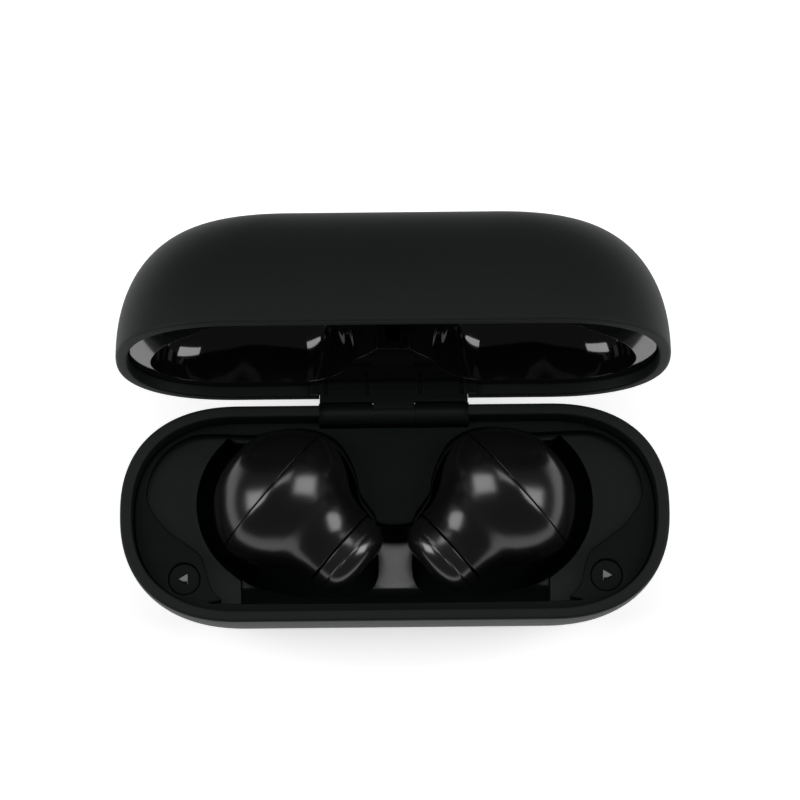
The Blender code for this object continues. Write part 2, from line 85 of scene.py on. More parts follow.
# Closure magnets
MAGNET_X = 25.4
MAGNET_Y = -7.4
MAGNET_RADIUS = 1.4

# Tray levels
BEZEL_TOP = BASE_HEIGHT - 2.2
BEZEL_THICKNESS = 1.2
CRADLE_TOP = BEZEL_TOP - BEZEL_THICKNESS - GAP
CRADLE_BOTTOM = BASE_HEIGHT - 11.6
POCKET_FLOOR = CRADLE_BOTTOM + 1.0
TROUGH_FLOOR = BASE_HEIGHT - 8.1
FRONT_EDGE = -10.6
RAMP_START = -7.4
BRIDGE_FRONT = -0.95
MARK_X = 25.35
MARK_Y = -7.5
MARK_RADIUS = 1.87
DOME_CENTRE = (13.0, 0.4)
POCKET_CENTRE = (12.6, 1.4)

# Charging socket
USB_Z = WALL + GAP + 2.8
USB_HALF_WIDTH = 4.8
USB_HALF_HEIGHT = 1.95
USB_FRONT = 2.6

# Left half of the opening in the bezel, from the bridge round the rear to the front edge.
OPENING_HALF = (
    (-1.8, BRIDGE_FRONT),
    (-2.55, 0.3),
    (-3.5, 1.65),
    (-4.3, 3),
    (-4.7, 5.1),
    (-5.6, 7.4),
    (-7.0, 9.35),
    (-9.1, 10.5),
    (-11.4, 10.9),
    (-13.7, 10.7),
    (-16.5, 10.15),
    (-19.0, 10.2),
    (-21.4, 10.3),
    (-24.2, 10.15),
    (-26.8, 8.85),
    (-28.6, 6.95),
    (-29.6, 4.65),
    (-29.8, 2.3),
    (-28.7, 0.1),
    (-27.2, -1.65),
    (-25.0, -3.3),
    (-23.4, -4.65),
    (-22.8, -6.35),
    (-22.2, -8.5),
    (-20.9, -10.05),
    (-19.0, FRONT_EDGE),
)

# Earbud, measured along its own axis from the face to the tip.
BUD_CENTRE = Vector((-13.65, 2.0, BASE_HEIGHT - 0.8))
BUD_AXIS = Vector((0.751, -0.652, -0.105)).normalized()
BUD_CENTRE_S = 7.6
BUD_PROFILE = (
    (0.0, 0.0),
    (0.25, 2.6),
    (1.1, 4.8),
    (2.6, 6.6),
    (4.3, 7.95),
    (6.3, 8.9),
    (7.8, 9.0),
    (9.6, 8.55),
    (11.4, 7.6),
    (13.4, 6.15),
    (15.2, 5.45),
    (16.7, 5.3),
)
SEAM_S = 6.3
SEAM_GROOVE = 0.07
TIP_S = 16.95
BUD_STEPS = 128


# Camera: a long lens, looking down on the rim's plane.
CAMERA_DISTANCE = 660.0
CAMERA_ELEVATION = 77.0
CAMERA_SHIFT = (0.756, 13.4)
CAMERA_FOCAL = 247.5
CAMERA_ROLL = -0.3

# Light levels: the room as anything but the camera sees it, the floor's own glow, the lamps.
ROOM_LIGHT = 0.08
FLOOR_GLOW = 0.62
SIDE_WATTS = 1.65
TOP_WATTS = 1.3
FLOOR_HALF_SIZE = 3.0

# Plastic: radius of the rounded edges in metres, and how far the colour strays each way.
EDGE_RADIUS = 0.00012
TINT = 0.12


# ---------------------------------------------------------------- materials


def new_material(name):
    made = bpy.data.materials.new(name)
    made.use_nodes = True
    return made, made.node_tree, made.node_tree.nodes["Principled BSDF"]


def add_node(tree, kind, **values):
    node = tree.nodes.new(kind)
    for key, value in values.items():
        node.inputs[key].default_value = value
    return node


def plastic(name, colour, roughness, grain, grain_scale, wear=0.05, coat=0.0, shine=0.5):
    """Moulded plastic: fine grain as bump, soft colour and roughness mottling, rounded edges."""
    made, tree, shader = new_material(name)
    place = tree.nodes.new("ShaderNodeTexCoord")
    fine = add_node(tree, "ShaderNodeTexNoise", Scale=grain_scale, Detail=5.0, Roughness=0.6)
    broad = add_node(tree, "ShaderNodeTexNoise", Scale=90.0, Detail=3.0, Roughness=0.5)
    tree.links.new(place.outputs["Object"], fine.inputs["Vector"])
    tree.links.new(place.outputs["Object"], broad.inputs["Vector"])

    shade = tree.nodes.new("ShaderNodeMix")
    shade.data_type = "RGBA"
    shade.inputs["A"].default_value = (*[c * (1 - TINT) for c in colour], 1)
    shade.inputs["B"].default_value = (*[c * (1 + TINT) for c in colour], 1)
    tree.links.new(broad.outputs["Fac"], shade.inputs["Factor"])
    tree.links.new(shade.outputs["Result"], shader.inputs["Base Color"])

    rough = add_node(tree, "ShaderNodeMapRange")
    rough.inputs["From Min"].default_value = 0.3
    rough.inputs["From Max"].default_value = 0.7
    rough.inputs["To Min"].default_value = roughness - wear
    rough.inputs["To Max"].default_value = roughness + wear
    tree.links.new(fine.outputs["Fac"], rough.inputs["Value"])
    tree.links.new(rough.outputs["Result"], shader.inputs["Roughness"])

    rounded = tree.nodes.new("ShaderNodeBevel")
    rounded.samples = 6
    rounded.inputs["Radius"].default_value = EDGE_RADIUS
    bump = add_node(tree, "ShaderNodeBump", Strength=grain, Distance=0.00003)
    tree.links.new(fine.outputs["Fac"], bump.inputs["Height"])
    tree.links.new(rounded.outputs["Normal"], bump.inputs["Normal"])
    tree.links.new(bump.outputs["Normal"], shader.inputs["Normal"])
    shader.inputs["Specular IOR Level"].default_value = shine
    if coat:
        shader.inputs["Coat Weight"].default_value = coat
        shader.inputs["Coat Roughness"].default_value = 0.04
    return made


def metal(name, colour, roughness, grain_scale):
    """Metal with a drawn or plated grain."""
    made, tree, shader = new_material(name)
    place = tree.nodes.new("ShaderNodeTexCoord")
    noise = add_node(tree, "ShaderNodeTexNoise", Scale=grain_scale, Detail=4.0)
    tree.links.new(place.outputs["Object"], noise.inputs["Vector"])
    ramp = add_node(tree, "ShaderNodeMapRange")
    ramp.inputs["To Min"].default_value = roughness * 0.7
    ramp.inputs["To Max"].default_value = roughness * 1.4
    tree.links.new(noise.outputs["Fac"], ramp.inputs["Value"])
    tree.links.new(ramp.outputs["Result"], shader.inputs["Roughness"])
    shade = tree.nodes.new("ShaderNodeMix")
    shade.data_type = "RGBA"
    shade.inputs["A"].default_value = (*[c * 0.85 for c in colour], 1)
    shade.inputs["B"].default_value = (*colour, 1)
    tree.links.new(noise.outputs["Fac"], shade.inputs["Factor"])
    tree.links.new(shade.outputs["Result"], shader.inputs["Base Color"])
    bump = add_node(tree, "ShaderNodeBump", Strength=0.15, Distance=0.00002)
    tree.links.new(noise.outputs["Fac"], bump.inputs["Height"])
    tree.links.new(bump.outputs["Normal"], shader.inputs["Normal"])
    shader.inputs["Metallic"].default_value = 1.0
    return made


SHELL = plastic("shell_plastic", (0.0070, 0.0092, 0.0088), 0.56, 0.25, 9000.0, shine=0.15)
TRAY = plastic("tray_plastic", (0.0032, 0.0050, 0.0046), 0.46, 0.30, 7000.0, shine=0.06)
# The cradle is the bezel's tray plastic painted in a lighter colour: painted light that stands in for light
# on the recessed cradle, which sits in shade.
CRADLE_PAINTED_LIT = plastic("cradle_painted_lit", (0.0050, 0.0072, 0.0067), 0.45, 0.30, 7000.0, shine=0.12)
LAND = plastic("land_plastic", (0.0060, 0.0070, 0.0070), 0.20, 0.08, 3000.0, wear=0.03)
HINGE = plastic("hinge_plastic", (0.0030, 0.0040, 0.0038), 0.45, 0.25, 9000.0, shine=0.2)
GLOSS = plastic("gloss_plastic", (0.0035, 0.0035, 0.0037), 0.07, 0.03, 1500.0, wear=0.02, coat=0.3)
BUD = plastic("bud_plastic", (0.0050, 0.0050, 0.0053), 0.22, 0.10, 12000.0, wear=0.03, shine=0.6)
RUBBER = plastic("silicone", (0.0062, 0.0062, 0.0066), 0.22, 0.10, 9000.0, wear=0.03, shine=0.9)
MOULDED = plastic("black_moulding", (0.012, 0.012, 0.012), 0.45, 0.3, 6000.0)
BOARD = plastic("board", (0.012, 0.07, 0.03), 0.4, 0.3, 3000.0)
STEEL = metal("steel", (0.56, 0.57, 0.58), 0.28, 4000.0)
PLATED = metal("magnet", (0.52, 0.52, 0.54), 0.22, 2500.0)
GOLD = metal("gold", (0.85, 0.62, 0.28), 0.2, 3000.0)
POUCH = metal("pouch", (0.62, 0.63, 0.65), 0.4, 1500.0)

SLOT_MATERIAL = {
    "shell_plastic": SHELL,
    "tray_plastic": TRAY,
    "gloss_plastic": GLOSS,
    "bud_plastic": BUD,
    "silicone": RUBBER,
    "black_moulding": MOULDED,
    "board": BOARD,
    "steel": STEEL,
    "magnet": PLATED,
    "gold": GOLD,
    "pouch": POUCH,
}


def dress_cad_nodes():
    """Every CAD node gets the material of its slot; the seen ones are replaced by finer pieces later."""
    for row in frame["record"]["subparts"]:
        node = frame["nodes"][row["node"]]
        node.data.materials.clear()
        node.data.materials.append(SLOT_MATERIAL[row["material_slot"]])
        for face in node.data.polygons:
            face.use_smooth = True
        node.data.set_sharp_from_angle(angle=radians(35))


# ---------------------------------------------------------------- geometry helpers


def at(x, y, z):
    """A shift, in millimetres."""
    return Matrix.Translation(Vector((x, y, z)) * MM)


LID_TURN = (
    at(0, HINGE_Y, HINGE_Z) @ Matrix.Rotation(-radians(LID_OPEN_DEG), 4, "X") @ at(0, -HINGE_Y, -HINGE_Z)
)


def merge_points(mesh):
    """Joins points in one place, such as those on an axis, and turns the faces outwards."""
    work = bmesh.new()
    work.from_mesh(mesh)
    bmesh.ops.remove_doubles(work, verts=work.verts, dist=1e-7)
    bmesh.ops.recalc_face_normals(work, faces=work.faces)
    work.to_mesh(mesh)
    work.free()


def mesh_object(name, points, faces, material=None, degrees=30):
    """A mesh from points in millimetres, with its faces turned outwards."""
    mesh = bpy.data.meshes.new(name)
    mesh.from_pydata([Vector(p) * MM for p in points], [], faces)
    work = bmesh.new()
    work.from_mesh(mesh)
    bmesh.ops.recalc_face_normals(work, faces=work.faces)
    work.to_mesh(mesh)
    work.free()
    made = bpy.data.objects.new(name, mesh)
    bpy.context.scene.collection.objects.link(made)
    if material:
        mesh.materials.append(material)
        shade(made, degrees)
    return made


def shade(obj, degrees=30):
    """Smooth shading, with creases sharper than an angle left hard."""
    for face in obj.data.polygons:
        face.use_smooth = True
    obj.data.set_sharp_from_angle(angle=radians(degrees))


def loft(name, rings, material=None, degrees=30):
    """A closed body through rings of the same point count; a last ring of one point closes to it."""
    count = len(rings[0])
    points = [p for ring in rings for p in ring]
    faces = []
    for level in range(len(rings) - 1):
        low = level * count
        high = low + count
        for i in range(count):
            j = (i + 1) % count
            if len(rings[level + 1]) == 1:
                faces.append((low + i, low + j, high))
            else:
                faces.append((low + i, low + j, high + j, high + i))
    faces.append(tuple(range(count)))
    if len(rings[-1]) > 1:
        faces.append(tuple(range(len(points) - count, len(points))))
    return mesh_object(name, points, faces, material, degrees)


def stadium(half_width, half_depth, end, z, count=OUTLINE_POINTS):
    """Superellipse ends on a straight middle, walked at an even turn of angle."""
    points = []
    straight = half_width - end
    quarter = count // 4
    for q in range(4):
        for i in range(quarter):
            share = i / quarter if q % 2 == 0 else 1 - i / quarter
            angle = pi / 2 * share
            x = straight + end * cos(angle) ** (2 / END_POWER)
            y = half_depth * sin(angle) ** (2 / END_POWER)
            points.append((x if q in (0, 3) else -x, y if q in (0, 1) else -y, z))
    return points


def case_ring(curve, rise, inset, z):
    """Outline at a share of the curve's turn (0 at the rim), moved in by inset."""
    _, side, front, _ = curve
    half_width = HALF_WIDTH - side * rise - inset
    half_depth = HALF_DEPTH - front * rise - inset
    end = END_LENGTH - 0.35 * side * rise - inset
    return stadium(half_width, half_depth, end, z)


def turn_at(curve, depth, inset):
    """The curve's angle at a distance from the rim, for the curve moved in by inset."""
    height, _, _, power = curve
    return asin(min(depth / (height - inset), 1.0) ** (power / 2))


def curve_ring(curve, turn, inset, rim_z, up):
    """The outline where the curve has turned by an angle from the rim."""
    height, _, _, power = curve
    z = rim_z + up * (height - inset) * sin(turn) ** (2 / power)
    return case_ring(curve, 1 - cos(turn) ** (2 / power), inset, z)


def dome_rings(curve, rim_z, up, depth, inset, steps):
    """Rings from the rim to the flat, for the curve moved in by inset."""
    last = turn_at(curve, depth - inset, inset)
    return [curve_ring(curve, last * i / steps, inset, rim_z, up) for i in range(steps + 1)]


def cup(name, curve, rim_z, up, depth, material):
    """A domed shell with a rolled rim. Up is 1 or -1."""
    outer = []
    for ring in reversed(dome_rings(curve, rim_z, up, depth, 0.0, 40)):
        if abs(ring[0][2] - rim_z) > RIM_ROUND + 0.1:
            outer.append(ring)
    rim = []
    for i in range(7):
        turn = pi / 2 * i / 6
        z = rim_z + up * RIM_ROUND * (1 - sin(turn))
        rim.append(case_ring(curve, 0, RIM_ROUND * (1 - cos(turn)), z))
    for i in range(5):
        turn = pi / 2 * i / 4
        rim.append(case_ring(curve, 0, WALL - 0.25 * (1 - sin(turn)), rim_z + up * 0.25 * (1 - cos(turn))))
    inner = dome_rings(curve, rim_z, up, depth, WALL, 24)[2:]
    return loft(name, outer + rim + inner, material, 40)


def between(p, q, r, s, t):
    """Catmull-Rom from q to r, one coordinate."""
    square = (2 * p - 5 * q + 4 * r - s) * t * t
    return 0.5 * (2 * q + (r - p) * t + square + (3 * q - p - 3 * r + s) * t**3)


def smoothed(points, steps=8, closed=True):
    """A smooth line through the points, with a number of steps from each to the next."""
    made = []
    count = len(points)
    spans = count if closed else count - 1
    for i in range(spans):
        if closed:
            a, b, c, d = (points[(i + k) % count] for k in (-1, 0, 1, 2))
        else:
            a, b, c, d = (points[min(max(i + k, 0), count - 1)] for k in (-1, 0, 1, 2))
        for step in range(steps):
            t = step / steps
            made.append(tuple(between(*values, t) for values in zip(a, b, c, d)))
    if not closed:
        made.append(tuple(points[-1]))
    return made


def mirrored(outline):
    """The outline on the other side of X = 0, walked the same way round."""
    return [(-p[0], *p[1:]) for p in reversed(outline)]


def carve(target, *others, operation="DIFFERENCE", degrees=30):
    """Cuts, adds or keeps the others' volumes, removes them and keeps the target's own material."""
    for other in others:
        cut = target.modifiers.new(other.name, "BOOLEAN")
        cut.operation = operation
        cut.solver = "EXACT"
        cut.object = other
    material = target.data.materials[0] if target.data.materials else None
    bpy.context.view_layer.update()
    graph = bpy.context.evaluated_depsgraph_get()
    cut_mesh = bpy.data.meshes.new_from_object(target.evaluated_get(graph))
    target.modifiers.clear()
    target.data = cut_mesh
    for other in others:
        bpy.data.objects.remove(other)
    if material:
        target.data.materials.clear()
        target.data.materials.append(material)
        shade(target, degrees)


def prism(name, outline, low, high, material=None):
    """An outline raised straight up from one height to another."""
    rings = [[(x, y, z) for x, y in outline] for z in (low, high)]
    return loft(name, rings, material)


def box(name, low, high, material=None):
    """A block between two corners."""
    outline = [(low[0], low[1]), (high[0], low[1]), (high[0], high[1]), (low[0], high[1])]
    return prism(name, outline, low[2], high[2], material)


def circle(x, y, radius, steps=48):
    points = []
    for step in range(steps):
        angle = 2 * pi * step / steps
        points.append((x + radius * cos(angle), y + radius * sin(angle)))
    return points


def rounded_rectangle(half_x, half_y, radius, steps=12):
    points = []
    for side_x, side_y, start in ((1, 1, 0), (-1, 1, 90), (-1, -1, 180), (1, -1, 270)):
        for i in range(steps + 1):
            angle = radians(start + 90 * i / steps)
            x = side_x * (half_x - radius) + radius * cos(angle)
            y = side_y * (half_y - radius) + radius * sin(angle)
            points.append((x, y))
    return points


def barrel(name, low, high, radius, material=None):
    """A cylinder along the hinge axis."""
    made = prism(name, circle(0, 0, radius, 64), low, high, material)
    made.data.transform(at(0, HINGE_Y, HINGE_Z) @ Matrix.Rotation(pi / 2, 4, "Y"))
    return made


def plate(name, loops, low, high, round_off, material):
    """A flat plate with holes and rounded edges."""
    curve = bpy.data.curves.new(name, "CURVE")
    curve.dimensions = "2D"
    curve.fill_mode = "BOTH"
    curve.extrude = (high - low) / 2 * MM - round_off * MM
    curve.bevel_depth = round_off * MM
    curve.bevel_resolution = 3
    curve.offset = -round_off * MM
    for loop in loops:
        spline = curve.splines.new("POLY")
        spline.points.add(len(loop) - 1)
        spline.use_cyclic_u = True
        for point, place in zip(spline.points, loop):
            point.co = (place[0] * MM, place[1] * MM, 0, 1)
    drawn = bpy.data.objects.new(name + "_curve", curve)
    bpy.context.scene.collection.objects.link(drawn)
    bpy.context.view_layer.update()
    graph = bpy.context.evaluated_depsgraph_get()
    mesh = bpy.data.meshes.new_from_object(drawn.evaluated_get(graph))
    bpy.data.objects.remove(drawn)
    mesh.name = name
    mesh.transform(at(0, 0, (low + high) / 2))
    merge_points(mesh)
    made = bpy.data.objects.new(name, mesh)
    bpy.context.scene.collection.objects.link(made)
    mesh.materials.clear()
    mesh.materials.append(material)
    shade(made)
    return made


def revolve(name, profile, place, material, closed=False):
    """A body turned round local Z from (radius, height) pairs, then moved to its place."""
    points = []
    faces = []
    count = len(profile)
    for radius, height in profile:
        for k in range(BUD_STEPS):
            angle = 2 * pi * k / BUD_STEPS
            points.append((radius * cos(angle), radius * sin(angle), height))
    for i in range(count if closed else count - 1):
        low = i * BUD_STEPS
        high = (i + 1) % count * BUD_STEPS
        for k in range(BUD_STEPS):
            j = (k + 1) % BUD_STEPS
            faces.append((low + k, low + j, high + j, high + k))
    made = mesh_object(name, points, faces)
    merge_points(made.data)
    made.data.transform(place)
    made.data.materials.append(material)
    shade(made, 25)
    return made


def grown(outline, distance):
    """Each point of a closed outline moved straight out by a distance."""
    points = [Vector(p) for p in outline]
    area = sum(a.cross(b) for a, b in zip(points, points[1:] + points[:1]))
    side = distance if area > 0 else -distance
    moved = []
    for i, point in enumerate(points):
        tangent = (points[(i + 1) % len(points)] - points[i - 1]).normalized()
        moved.append(tuple(point + Vector((tangent.y, -tangent.x)) * side))
    return moved


def bowl(name, outline, centre, mouth, floor, round_share, narrowing=0.42):
    """A hollow's shape: straight at its mouth, rounding in to a smaller floor."""
    steps = 16
    rings = [[(x, y, mouth) for x, y in outline]]
    for i in range(steps + 1):
        turn = pi / 2 * i / steps
        scale = 1 - narrowing * (1 - cos(turn))
        z = mouth + (floor - mouth) * (1 - round_share + round_share * sin(turn))
        ring = []
        for x, y in outline:
            ring.append((centre[0] + (x - centre[0]) * scale, centre[1] + (y - centre[1]) * scale, z))
        rings.append(ring)
    return loft(name, rings)


def opening_outline(grow=0.0, steps=8):
    """The bezel's opening, or an outline that much larger."""
    return smoothed(grown(list(OPENING_HALF) + mirrored(OPENING_HALF), grow), steps)


def fit_piece(piece, body, slot_name, *nodes):
    """The piece moves with a body and stands in the picture for CAD nodes."""
    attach(piece, body)
    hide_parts(*nodes)


# ---------------------------------------------------------------- pieces


def build_shells():
    """The base and the lid, each with a notch for the hinge, and the base's charging socket."""
    base = cup("base_shell_fine", BASE_CURVE, BASE_HEIGHT, -1, BASE_HEIGHT, SHELL)
    socket = prism("cut", rounded_rectangle(USB_HALF_WIDTH, USB_HALF_HEIGHT, 1.9), 0, 12)
    socket.data.transform(at(0, 5, USB_Z) @ Matrix.Rotation(-pi / 2, 4, "X"))
    notch = box("cut", (-HINGE_NOTCH, 9.0, HINGE_Z - 2.1), (HINGE_NOTCH, 18, 24))
    carve(base, notch, socket, degrees=40)
    fit_piece(base, "case", "shell_plastic", "base_shell")

    lid = cup("lid_shell_fine", LID_CURVE, LID_RIM, 1, LID_HEIGHT, SHELL)
    carve(lid, box("cut", (-HINGE_NOTCH, 10.0, 10), (HINGE_NOTCH, 18, LEAF_TOP + GAP)), degrees=40)
    lid.data.transform(LID_TURN)
    fit_piece(lid, "lid", "shell_plastic", "lid_shell")


def build_leaf():
    """The lid's leaf, its middle barrel, and a thin lap that reaches into both knuckles."""
    inner = HALF_DEPTH - WALL - 0.1
    near = (-LEAF_REACH, inner - 0.6, HINGE_Z + 0.3)
    leaf = box("lid_hinge_leaf_fine", near, (LEAF_REACH, HINGE_Y + 0.2, LEAF_TOP), HINGE)
    side_top = HINGE_Z + KNUCKLE_RADIUS + 0.3
    far = LEAF_REACH + 1
    sides = []
    for low, high in ((-far, -MIDDLE_HALF_WIDTH), (MIDDLE_HALF_WIDTH, far)):
        sides.append(box("side", (low, 8, HINGE_Z - 4), (high, 18, side_top)))
    middle = barrel("middle", -MIDDLE_HALF_WIDTH, MIDDLE_HALF_WIDTH, KNUCKLE_RADIUS)
    carve(leaf, middle, operation="UNION")
    carve(leaf, *sides)
    carve(leaf, barrel("lap", -LAP_HALF_WIDTH, LAP_HALF_WIDTH, LAP_RADIUS), operation="UNION")
    lip_near = (-LEAF_REACH, HINGE_Y - 1.45, HINGE_Z + 1.06)
    lip = box("lip", lip_near, (LEAF_REACH, HINGE_Y - 0.9, HINGE_Z + 2.8))
    flange = box("flange", (-far, inner - 0.5, HINGE_Z + 2.2), (far, inner - 0.02, LEAF_TOP + 0.9))
    carve(leaf, lip, flange, operation="UNION")
    ribs = []
    for x in (-8.2, -3.2, 3.2, 8.2):
        ribs.append(box("rib", (x - 0.35, 8, HINGE_Z + 2.0), (x + 0.35, inner - 0.4, LEAF_TOP + 2)))
    spring_end = barrel("spring_end", -3.0, -2.52, 1.0)
    carve(leaf, barrel("bore", -12, 12, PIN_BORE), spring_end, *ribs)
    leaf.data.transform(LID_TURN)
    fit_piece(leaf, "lid", "shell_plastic", "lid_hinge_leaf")


def build_knuckle(side, span, foot_span, room_span):
    """One of the base's knuckles on its foot, hollow where the spring or the leaf's lap is."""
    knuckle = barrel(f"{side}_knuckle_fine", *span, KNUCKLE_RADIUS, HINGE)
    low, high = foot_span
    foot = box("foot", (low, HINGE_Y - 1.3, HINGE_Z - 1.7), (high, HINGE_Y + 0.6, HINGE_Z))
    carve(knuckle, foot, operation="UNION")
    carve(knuckle, barrel("bore", -12, 12, PIN_BORE), barrel("lap_room", *room_span, 1.25))
    fit_piece(knuckle, "case", "shell_plastic", f"{side}_base_knuckle")


def mark_outline(sign):
    """A plain arrowhead that points to its earbud's side."""
    return [(sign * 0.75, 0.0), (-sign * 0.45, 0.75), (-sign * 0.45, -0.75)]


def build_bezel():
    """The flat plate round the pockets, and the two round side markers set into it."""
    rim = [(x, y) for x, y, _ in case_ring(BASE_CURVE, 0, WALL + 0.25, 0)]
    holes = [circle(sign * MARK_X, MARK_Y, 1.95) for sign in (-1, 1)]
    loops = [rim, opening_outline(), *holes]
    bezel = plate("tray_bezel_fine", loops, BEZEL_TOP - BEZEL_THICKNESS, BEZEL_TOP, 0.14, TRAY)
    carve(bezel, box("cut", (-HINGE_NOTCH, HINGE_Y - 1.65, 8), (HINGE_NOTCH, 18, 24)))
    fit_piece(bezel, "case", "tray_plastic", "tray_bezel")
    for side, sign in (("left", -1), ("right", 1)):
        round_edge = circle(sign * MARK_X, MARK_Y, MARK_RADIUS)
        disc = plate(f"{side}_mark_fine", [round_edge], BEZEL_TOP - 0.7, BEZEL_TOP - 0.3, 0.08, TRAY)
        fit_piece(disc, "case", "tray_plastic", f"{side}_mark_disc")
        arrow = [(sign * MARK_X + x, MARK_Y + y) for x, y in mark_outline(sign)]
        raised = plate(f"{side}_arrow_mark", [arrow], BEZEL_TOP - 0.5, BEZEL_TOP - 0.12, 0.06, GLOSS)
        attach(raised, "case")


def pocket_outline(sign):
    """The hollow round one earbud: the bezel's edge at the rear, a round scoop at the end."""
    rear = [(x, y - 0.6) for x, y in OPENING_HALF[:14] if x > -20]
    scoop = []
    for degrees in range(130, 231, 5):
        angle = radians(degrees)
        scoop.append((-12.9 + 11.0 * cos(angle), 1.9 + 10.8 * sin(angle)))
    front = [(-17.5, -8.1), (-12.5, -9.3), (-7.0, -9.6), (-3.0, -9.2), (-1.2, -7.2), (-1.2, -3.0)]
    outline = smoothed(rear + scoop + front, 4)
    return outline if sign < 0 else mirrored(outline)


def trough_section():
    """The trough between the earbuds from the side, with its ramp up to the bezel's front edge."""
    section = [(BRIDGE_FRONT - 0.3, 22.0), (BRIDGE_FRONT - 0.3, TROUGH_FLOOR), (RAMP_START, TROUGH_FLOOR)]
    for i in range(1, 15):
        turn = pi / 2 * i / 14
        y = RAMP_START + (FRONT_EDGE - RAMP_START) * sin(turn)
        section.append((y, BEZEL_TOP - (BEZEL_TOP - TROUGH_FLOOR) * cos(turn)))
    section.append((FRONT_EDGE, 22.0))
    return section


def build_cradle():
    """The block under the bezel, with both pockets and the trough; the trough's floor is polished."""
    outline = opening_outline(0.9, 4)
    # The cradle's lighter colour is painted light on the same tray plastic, not a different plastic.
    block = prism("pocket_cradle_fine", outline, CRADLE_BOTTOM, CRADLE_TOP, CRADLE_PAINTED_LIT)
    inside = loft("inside", dome_rings(BASE_CURVE, BASE_HEIGHT, -1, BASE_HEIGHT, WALL + GAP, 24))
    carve(block, inside, operation="INTERSECT")
    pockets = []
    for sign in (-1, 1):
        centre = (sign * POCKET_CENTRE[0], POCKET_CENTRE[1])
        pockets.append(bowl(f"pocket{sign}", pocket_outline(sign), centre, 20.0, POCKET_FLOOR, 0.45))
    pockets.append(loft("trough", [[(x, y, z) for y, z in trough_section()] for x in (-18.6, 18.6)]))
    pockets.append(box("hinge", (-HINGE_NOTCH, HINGE_Y - 2.2, 8), (HINGE_NOTCH, 18, 24)))
    pockets.append(box("usb", (-USB_HALF_WIDTH, USB_FRONT, 0), (USB_HALF_WIDTH, 14, USB_Z + 1.93)))
    carve(block, *pockets)
    block.data.materials.append(LAND)
    for face in block.data.polygons:
        flat = face.normal.z > 0.99 and abs(face.center.z / MM - TROUGH_FLOOR) < 0.05
        face.material_index = 1 if flat else 0
    fit_piece(block, "case", "tray_plastic", "pocket_cradle")


def dome_outline(sign):
    """The hollow over one earbud in the lid's liner."""
    outline = [(-1.6, -1.8), (-3.0, 0.8), (-4.6, 2.9), (-5.7, 6.0), (-8.0, 8.9), (-11.0, 10.2), (-15.0, 9.8)]
    outline += [(-20.0, 10.1), (-24.5, 9.3), (-28.0, 6.5), (-29.0, 2.7), (-27.4, -2.0)]
    outline += [(-24.2, -5.6), (-20.6, -8.9), (-16.0, -10.1), (-8.0, -10.4), (-3.5, -9.5), (-1.6, -6.0)]
    outline = smoothed(outline, 6)
    return outline if sign < 0 else mirrored(outline)


def build_liner():
    """A plate inside the lid's rim with one thin-walled dome over each earbud."""
    face = LID_RIM + LINER_DEPTH
    rings = [case_ring(LID_CURVE, 0, WALL + 0.3, face), case_ring(LID_CURVE, 0, WALL + 0.14, face + 0.16)]
    for step in range(3):
        turn = turn_at(LID_CURVE, LINER_DEPTH + 0.4 + 0.3 * step, WALL + GAP)
        rings.append(curve_ring(LID_CURVE, turn, WALL + GAP - 0.1, LID_RIM, 1))
    liner = loft("lid_liner_fine", rings, GLOSS)
    roof = face + DOME_DEPTH
    for sign in (-1, 1):
        centre = (sign * DOME_CENTRE[0], DOME_CENTRE[1])
        around = grown(dome_outline(sign), LINER_WALL)
        over = bowl("over", around, centre, face + 0.2, roof + LINER_WALL, 0.95)
        carve(liner, over, operation="UNION")
    limit = loft("limit", dome_rings(LID_CURVE, LID_RIM, 1, LID_HEIGHT, WALL + 0.1, 24))
    carve(liner, limit, operation="INTERSECT")
    cutters = []
    for sign in (-1, 1):
        centre = (sign * DOME_CENTRE[0], DOME_CENTRE[1])
        cutters.append(bowl("dome", dome_outline(sign), centre, face - 3, roof, 0.72, narrowing=0.55))
        magnet = circle(sign * MAGNET_X, MAGNET_Y, MAGNET_RADIUS + 0.05)
        cutters.append(prism("socket", magnet, face + 0.6, face + 8))
    cutters.append(box("valley", (-3.4, -9.8, face - 3), (3.4, -0.9, face + 4.5)))
    cutters.append(box("hinge", (-HINGE_NOTCH, 9.9, 10), (HINGE_NOTCH, 18, LEAF_TOP + 2 * GAP)))
    carve(liner, *cutters, degrees=32)
    liner.data.transform(LID_TURN)
    fit_piece(liner, "lid", "gloss_plastic", "lid_liner")


def bud_place(sign):
    """Moves a body turned round Z onto one earbud's own axis, with its face at 0."""
    axis = Vector((-sign * BUD_AXIS.x, BUD_AXIS.y, BUD_AXIS.z))
    centre = Vector((-sign * BUD_CENTRE.x, BUD_CENTRE.y, BUD_CENTRE.z))
    across = axis.cross(Vector((0, 0, 1))).normalized()
    turned = Matrix((across, axis.cross(across), axis)).transposed().to_4x4()
    return Matrix.Translation((centre - axis * BUD_CENTRE_S) * MM) @ turned


